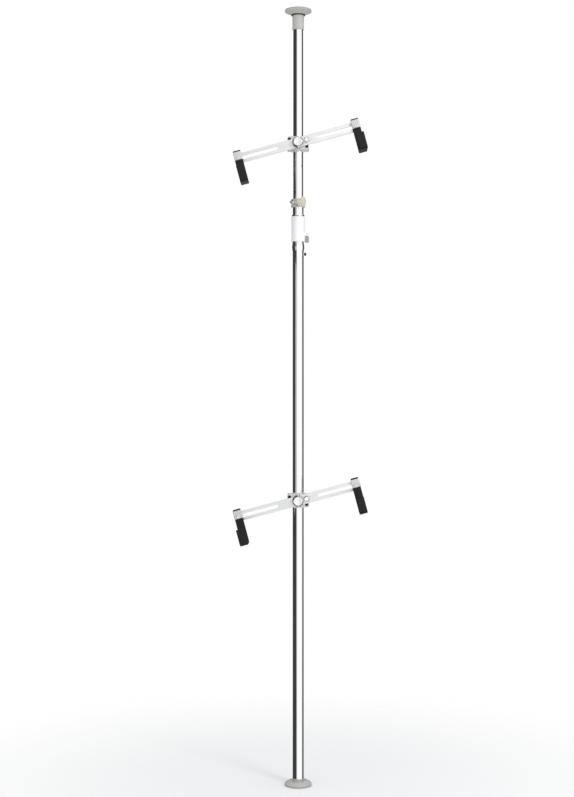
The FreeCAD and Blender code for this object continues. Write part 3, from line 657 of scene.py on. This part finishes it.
XZ = Matrix(((1, 0, 0, 0), (0, 0, -1, 0), (0, 1, 0, 0), (0, 0, 0, 1)))  # x,y,z -> X,Z,-Y
lug_front = loose("lug_front", slab(lug_outline, [pin_hole], 3.2, 7, 0.7), XZ, "nut_silver")
lug_back = loose("lug_back", slab(lug_outline, [pin_hole], -7, -3.2, 0.7), XZ, "nut_silver")
united(nut, lug_front, lug_back)

make(
    "handle_hinge_pin",
    lathe([(0, -8.8), (1.9, -8.8), (2.8, -8.1), (2.8, -7.15), (1.5, -7.15), (1.5, 7.4), (1.0, 7.9), (0, 7.9)], 40, 0.25),
    shift(HX, 0, HZ) @ BACK, replaces=["jack_handle_pin"],
)
eye = slab(ring_points(5, 48, HX, HZ), [ring_points(1.6, 24, HX, HZ)], -2.9, 2.9, 0.7)
handle = make("handle_rod", eye, XZ, replaces=["jack_handle"])
rod = loose(
    "rod",
    lathe([(0, -32), (2.5, -32), (2.5, -4.2), (0, -4.2)], 40, 0.6),
    shift(HX, 0, HZ), "zinc_steel",
)
united(handle, rod)


def grip_wobble(r, z, a):
    return r - (0.35 * (0.5 - 0.5 * math.cos(12 * a)) if r > 4.5 and -28 < z < -9 else 0)


make(
    "handle_grip",
    lathe(
        [(2.55, -30), (5.2, -30), (6.5, -28.4), (6.9, -24), (6.8, -18), (6.3, -12), (5.6, -8.4), (4.9, -6.9), (2.55, -6.9)],
        96, 0.9, 4, grip_wobble,
    ),
    shift(HX, 0, HZ), replaces=["jack_handle_grip"],
)

# Lock collar: split ring with two ears, and its fluted ivory knob.
kj = JOINTS["lock_knob_turn"]
TURN = Matrix.Rotation(math.atan2(kj["axis"][1], kj["axis"][0]), 4, "Z")
bolt_at = Vector(kj["pos_m"]) * 1000
KZ = bolt_at.z
EARY = math.hypot(bolt_at.x, bolt_at.y)
c_low, c_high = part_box("lock_collar")
CL, CH = c_low.z * 1000, c_high.z * 1000


def collar_outline():
    ro, ri, slit = 25.5, 19.6, 1.5
    a0, a1 = math.asin(slit / ro), math.asin(slit / ri)
    outer = [
        (ro * math.sin(a), -ro * math.cos(a))
        for a in [a0 + (2 * PI - 2 * a0) * k / 96 for k in range(97)]
    ]
    inner_ring = [
        (ri * math.sin(a), -ri * math.cos(a))
        for a in [2 * PI - a1 - (2 * PI - 2 * a1) * k / 96 for k in range(97)]
    ]
    return outer + inner_ring


collar = make("split_collar", slab(collar_outline(), [], CL, CH, 1.0), TURN, replaces=["lock_collar"])
ear_arc = [(-EARY + 11 * math.cos(a), KZ + 11 * math.sin(a)) for a in [PI / 2 + PI * k / 24 for k in range(25)]]
ear_outline = ear_arc + [(-20.5, KZ - 11), (-20.5, KZ + 11)]
ear_hole = ring_points(4.1, 32, -EARY, KZ)
ears = [
    loose("ear%d" % i, slab(ear_outline, [ear_hole], x0, x1, 0.7), TURN @ SIDE, "cast_grey")
    for i, (x0, x1) in enumerate(((1.5, 5), (-5, -1.5)))
]
united(collar, *ears)

KNOB = TURN @ shift(0, -EARY, KZ) @ LONG_X
bolt = lathe([(0, -20.5), (3.3, -20.1), (4.6, -18.9), (5.2, -16.9), (5.2, -14.0), (0, -14.0)], 48, 0.5)
hexnut = slab(hexagon(13.0, 0.3), [], -14.4, -7.3, 0.5)
washer = lathe([(0, -7.45), (8.2, -7.45), (8.2, -5.15), (0, -5.15)], 64, 0.4)
shank = lathe([(0, -5.2), (4, -5.2), (4, 28.5), (0, 28.5)], 48, 0.3)
lock = make("lock_bolt_and_cap_nut", bolt, KNOB, replaces=["lock_bolt"])
united(lock, *[loose("lb%d" % i, s, KNOB, "zinc_steel") for i, s in enumerate((hexnut, washer, shank))])



def knob_wobble(r, z, a):
    """Ten round grip lobes, fading in above the smooth shoulder."""
    if r < 10 or z < 19.4:
        return r
    fade = min(1.0, (z - 19.4) / 2.4, max(0.0, (36.4 - z) / 2.4))
    w = (0.5 - 0.5 * math.cos(10 * a)) ** 1.1
    return r - 3.4 * fade * w


knob_profile = [(0, 37), (6, 36.9), (9.4, 36.3), (12.8, 35.2), (15.4, 34.0), (17.2, 32.8), (18.0, 31.6), (18.05, 30.8)]
knob_profile += [(18.05, 30 - i) for i in range(10)]
knob_profile += [
    (17.8, 20.4), (16.6, 19.4), (15.4, 18.0), (15.0, 16.0), (14.4, 12.6), (13.2, 10.2), (11.0, 9.2), (9, 8.8), (9, 5.4),
    (4.15, 5.4), (4.15, 29.5), (0, 29.5),
]
make("lock_knob_grip", lathe(knob_profile, 208, 0.5, 2, knob_wobble), KNOB, replaces=["lock_knob"])

# Steady screw: a thumb screw with a black head on the lower tube.
s_low, s_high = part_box("steady_screw")
SZ = (s_low.z + s_high.z) * 500
STEADY = shift(0, 0, SZ) @ LONG_X
boss = make(
    "steady_screw_boss",
    lathe([(3.1, 19.3), (7.6, 19.3), (8, 19.8), (7.8, 20.9), (7.0, 21.6), (3.1, 21.6)], 64, 0.3),
    STEADY, replaces=["steady_screw"], material="cast_grey",
)
del boss["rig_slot"]
screw_head = slab(lobed(5.2, 0.45, 18), [], 21.7, 29.1, 0.9, 3)
make("steady_screw_head", joined(screw_head, lathe([(0, 18.3), (3, 18.3), (3, 21.9), (0, 21.9)], 32, 0.2)), STEADY, node="steady_screw")

# ---------------------------------------------------------------- cradles


def socket_screw(r, h, across, depth):
    """A cap screw's head standing on height 0: rounded rim with a hexagon socket."""
    ring_part = slab(ring_points(r, 48), [hexagon(across)], h - depth, h, 0.6)
    base = slab(ring_points(r, 48), [], 0, h - depth, 0.0)
    return joined(base, ring_part)


def cradle(side):
    pivot = Vector(JOINTS[side + "_arm_tilt"]["pos_m"]) * 1000
    Z = pivot.z
    axis = JOINTS[side + "_left_hook_slide"]["axis"]
    tilt = math.atan2(axis[2], axis[0])
    AT = shift(0, 0, Z)
    ARM = AT @ Matrix.Rotation(-tilt, 4, "Y")
    n = side + "_"

    # liner: nylon sleeve with two rims and its slit at the back
    tube = LR if side == "lower" else UR
    rb = tube + 0.1
    slit = 1.0

    def c_ring(ro, ri):
        a0, a1 = math.asin(slit / ro), math.asin(slit / ri)
        o = [(ro * math.sin(a), ro * math.cos(a)) for a in [a0 + (2 * PI - 2 * a0) * k / 96 for k in range(97)]]
        i = [(ri * math.sin(a), ri * math.cos(a)) for a in [2 * PI - a1 - (2 * PI - 2 * a1) * k / 96 for k in range(97)]]
        return o + i

    liner = make(n + "liner_sleeve", slab(c_ring(22, rb), [], -25.5, 25.5, 0.0), AT, replaces=[n + "clamp_liner"])
    rims = [
        loose(n + "rim%d" % i, slab(c_ring(24.5, rb), [], a, b, 0.5), AT, "white_nylon")
        for i, (a, b) in enumerate(((-26.5, -24.4), (24.4, 26.5)))
    ]
    united(liner, *rims)

    # arm
    arm_holes = [
        oblong(-219.5, -78.9, 6.4), oblong(78.9, 219.5, 6.4),
        ring_points(5.1, 40), ring_points(4.1, 32, 32.5, 0),
    ]
    make(n + "slotted_arm", slab(oblong(-215, 215, 17.3, 32), arm_holes, 39.5, 45.5, 0.7, 3), ARM @ FRONT, replaces=[n + "arm"])
    make(
        n + "tilt_friction_ring",
        lathe([(5.1, 45.6), (19.9, 45.6), (20.5, 46.2), (20.5, 47.0), (19.9, 47.6), (5.1, 47.6)], 96, 0.3),
        ARM @ FRONT, replaces=[n + "tilt_washer"],
    )
    # the tilt knob: knurled skirt, waisted side and dished face
    skirt = slab(lobed(20.3, 0.5, 60, 480), [], 47.8, 52.6, 0.5, 3)
    crown = lathe(
        [
            (0, 51.5), (19.7, 51.5), (19.6, 53.9), (16.7, 56.8), (16.5, 58.0), (16.4, 66.8), (15.2, 68.9), (12.6, 69.1),
            (11.0, 69.0), (10.0, 68.3), (5.8, 68.1), (5.2, 67.6), (0, 67.6),
        ],
        96, 0.4, 4,
    )
    knob = make(n + "tilt_hand_knob", skirt, ARM @ FRONT, replaces=[n + "tilt_knob"])
    united(knob, loose(n + "crown", crown, ARM @ FRONT, "knob_silver"))

    # the small lock screw beside it
    collar_part = lathe(
        [
            (0, 38.4), (3.3, 38.4), (3.9, 39.1), (3.9, 45.8), (10.3, 45.8), (10.6, 46.1), (10.6, 50.4), (0, 50.4),
        ],
        72, 0.2,
    )
    thumb = slab(lobed(10.8, 0.4, 36, 360), [], 46.6, 50.6, 0.3, 3)
    top = lathe(
        [
            (0, 50), (10.3, 50), (10.3, 51.2), (8.9, 52.6), (8.8, 58.0), (7.4, 59.5), (6.0, 59.7), (5.2, 59.3), (0, 59.2),
        ],
        72, 0.3,
    )
    lock = make(n + "tilt_lock_thumb", collar_part, ARM @ shift(32.5, 0, 0) @ FRONT, replaces=[n + "tilt_lock_screw"])
    united(lock, *[loose(n + "tl%d" % i, s, ARM @ shift(32.5, 0, 0) @ FRONT, "knob_silver") for i, s in enumerate((thumb, top))])

    for end, sign in (("left", 1), ("right", -1)):
        m = side + "_" + end + "_"
        HERE = ARM @ shift(-221 if end == "left" else 215, 0, 0)
        # hook: a J-shaped strip, rounded and wider where it is coated
        yb, yf = -45.9, -137.9
        outline = [
            (yb, -7), (yb, -98), (yf, -98), (yf, -38), (yf + 8, -38), (yf + 8, -90),
            (yb - 8, -90), (yb - 8, -7),
        ]
        outline = softened(outline, {0: 1.2, 1: 12, 2: 12, 3: 2.6, 4: 2.6, 5: 4, 6: 4, 7: 1.2}, 12)
        strip = [(yb, 28.2), (yb, -12), (yb - 7.6, -12), (yb - 7.6, 28.2)]
        hook = make(m + "coated_hook", slab(outline, [], -14.75, 14.75, 2.0, 5), HERE @ SIDE, replaces=[m + "hook"])
        united(hook, loose(m + "strip", slab(softened(strip, {0: 1.2, 3: 1.2}, 4), [], -13.5, 13.5, 0.9), HERE @ SIDE, "hook_coating"))

        # slider block: folded channel over the hook
        w = 15.0
        channel = [
            (-w, -45.8), (-w, -58), (w, -58), (w, -45.8), (13.6, -45.8), (13.6, -54), (-13.6, -54), (-13.6, -45.8),
        ]
        channel = softened(channel, {0: 0.4, 1: 2.6, 2: 2.6, 3: 0.4, 4: 0.4, 5: 1.0, 6: 1.0, 7: 0.4}, 6)
        make(m + "slider_channel", slab(channel, [], -6.2, 23.2, 0.7, 3), HERE, replaces=[m + "slider_block"])

        x0, x1 = sorted((sign * 6, sign * 12.5))
        backing = make(
            m + "slider_backing", slab(rectangle(-13, -13, 13, 13, 4), [ring_points(4.1, 32)], 35.2, 39.2, 0.5),
            HERE @ FRONT, replaces=[m + "slider_plate"],
        )
        united(backing, loose(m + "key", slab(rectangle(x0, -6.1, x1, 6.1, 0.8), [], 38.5, 42.5, 0.3), HERE @ FRONT, "cast_grey"))

        # the bolt through block, hook, slot and plate
        head = moved(socket_screw(6.5, 3, 5, 1.8), shift(0, 0, 58.05))
        shank = lathe([(0, 22.6), (3.4, 22.6), (4, 23.4), (4, 58.2), (0, 58.2)], 48, 0.2)
        make(m + "slider_bolt", joined(head, shank), HERE @ FRONT, replaces=[m + "slider_bolts"])

        star = slab(lobed(15.0, 2.8, 7, 168, 0.75), [], 3.2, 14.4, 1.8, 5, 1.2)
        boss_part = lathe([(0, 0), (7.4, 0), (8, 0.6), (8.6, 3.6), (8.6, 14.2), (7.8, 15), (0, 15)], 64, 0.5)
        KN = HERE @ shift(0, -39.5 + 4.6, 0) @ BACK
        star_knob = make(m + "slider_star_knob", star, KN, replaces=[m + "slider_knob"])
        united(star_knob, loose(m + "kb", boss_part, KN, "cast_grey"))


cradle("upper")
cradle("lower")

# --------------------------------------------------------- floor and light
floor_mat = bpy.data.materials.new("floor_pale")
floor_mat.use_nodes = True
ft = floor_mat.node_tree
fb = ft.nodes["Principled BSDF"]
fb.inputs["Base Color"].default_value = (0.94, 0.94, 0.935, 1)
fb.inputs["Roughness"].default_value = 0.8
fb.inputs["Specular IOR Level"].default_value = 0.2
fo = ft.nodes["Material Output"]
fade_at = ft.nodes.new("ShaderNodeTexCoord")
fade_len = ft.nodes.new("ShaderNodeVectorMath")
fade_len.operation = "LENGTH"
ft.links.new(fade_at.outputs["Object"], fade_len.inputs[0])
fade = ft.nodes.new("ShaderNodeMapRange")
fade.interpolation_type = "SMOOTHSTEP"
fade.inputs["From Min"].default_value = 0.2
fade.inputs["From Max"].default_value = 1.7
ft.links.new(fade_len.outputs["Value"], fade.inputs["Value"])
see = ft.nodes.new("ShaderNodeBsdfTransparent")
fmix = ft.nodes.new("ShaderNodeMixShader")
ft.links.new(fade.outputs[0], fmix.inputs[0])
ft.links.new(fb.outputs[0], fmix.inputs[1])
ft.links.new(see.outputs[0], fmix.inputs[2])
ft.links.new(fmix.outputs[0], fo.inputs[0])
fm = bpy.data.meshes.new("floor")
disc = [(0, 0, 0)] + [(6 * math.cos(2 * PI * k / 96), 6 * math.sin(2 * PI * k / 96), 0) for k in range(96)]
fm.from_pydata(disc, [], [(0, 1 + k, 1 + (k + 1) % 96) for k in range(96)])
floor = bpy.data.objects.new("floor", fm)
scene.collection.objects.link(floor)
fm.materials.append(floor_mat)
floor.location.z = -0.0005
floor.visible_glossy = False

world = bpy.data.worlds.new("studio")
scene.world = world
world.use_nodes = True
wt = world.node_tree
wt.nodes.clear()
wo = wt.nodes.new("ShaderNodeOutputWorld")
tc2 = wt.nodes.new("ShaderNodeTexCoord")
sep = wt.nodes.new("ShaderNodeSeparateXYZ")
wt.links.new(tc2.outputs["Generated"], sep.inputs[0])
# azimuth from the viewer's side (-Y), positive towards +X, as a share of a turn
neg = wt.nodes.new("ShaderNodeMath"); neg.operation = "MULTIPLY"; neg.inputs[1].default_value = -1
wt.links.new(sep.outputs["Y"], neg.inputs[0])
ang = wt.nodes.new("ShaderNodeMath"); ang.operation = "ARCTAN2"
wt.links.new(sep.outputs["X"], ang.inputs[0])
wt.links.new(neg.outputs[0], ang.inputs[1])
share = wt.nodes.new("ShaderNodeMapRange")
share.inputs["From Min"].default_value = -PI
share.inputs["From Max"].default_value = PI
wt.links.new(ang.outputs[0], share.inputs["Value"])
ramp = wt.nodes.new("ShaderNodeValToRGB")
wt.links.new(share.outputs[0], ramp.inputs[0])


def deg(a):
    return (a + 180) / 360


stops = [
    (-180, 0.9), (-172, 0.6), (-164, 0.10), (-130, 0.045), (-58, 0.045), (-44, 0.07), (-34, 0.28), (-24, 1.0),
    (-12, 1.1), (60, 1.1), (90, 1.0), (98, 0.08), (152, 0.05), (162, 0.4), (180, 0.9),
]
cr = ramp.color_ramp
while len(cr.elements) > 1:
    cr.elements.remove(cr.elements[-1])
cr.elements[0].position = deg(stops[0][0])
cr.elements[0].color = (stops[0][1],) * 3 + (1,)
for a, v in stops[1:]:
    e = cr.elements.new(deg(a))
    e.color = (v, v, v, 1)
glow = wt.nodes.new("ShaderNodeBackground")
glow.inputs["Strength"].default_value = 1.0
wt.links.new(ramp.outputs[0], glow.inputs["Color"])
plain = wt.nodes.new("ShaderNodeBackground")
plain.inputs["Color"].default_value = (1, 1, 1, 1)
plain.inputs["Strength"].default_value = 1.0
lp = wt.nodes.new("ShaderNodeLightPath")
diffuse_bg = wt.nodes.new("ShaderNodeBackground")
diffuse_bg.inputs["Color"].default_value = (0.97, 0.98, 1.0, 1)
diffuse_bg.inputs["Strength"].default_value = 0.86
m1 = wt.nodes.new("ShaderNodeMixShader")
wt.links.new(lp.outputs["Is Glossy Ray"], m1.inputs[0])
wt.links.new(diffuse_bg.outputs[0], m1.inputs[1])
wt.links.new(glow.outputs[0], m1.inputs[2])
m2 = wt.nodes.new("ShaderNodeMixShader")
wt.links.new(lp.outputs["Is Camera Ray"], m2.inputs[0])
wt.links.new(m1.outputs[0], m2.inputs[1])
wt.links.new(plain.outputs[0], m2.inputs[2])
wt.links.new(m2.outputs[0], wo.inputs[0])


def softbox(name, at, aim, size, power):
    light = bpy.data.lights.new(name, "AREA")
    light.shape = "RECTANGLE"
    light.size, light.size_y = size
    light.energy = power
    ob = bpy.data.objects.new(name, light)
    ob.location = at
    ob.rotation_euler = (Vector(aim) - Vector(at)).to_track_quat("-Z", "Y").to_euler()
    scene.collection.objects.link(ob)
    return ob


softbox("key", (2.6, -3.4, 3.4), (0, 0, 1.4), (1.2, 1.8), 55)
softbox("fill", (-3.2, -3.0, 2.0), (0, 0, 1.2), (2.5, 2.5), 8)

scene.view_settings.view_transform = "Standard"
scene.view_settings.look = "None"
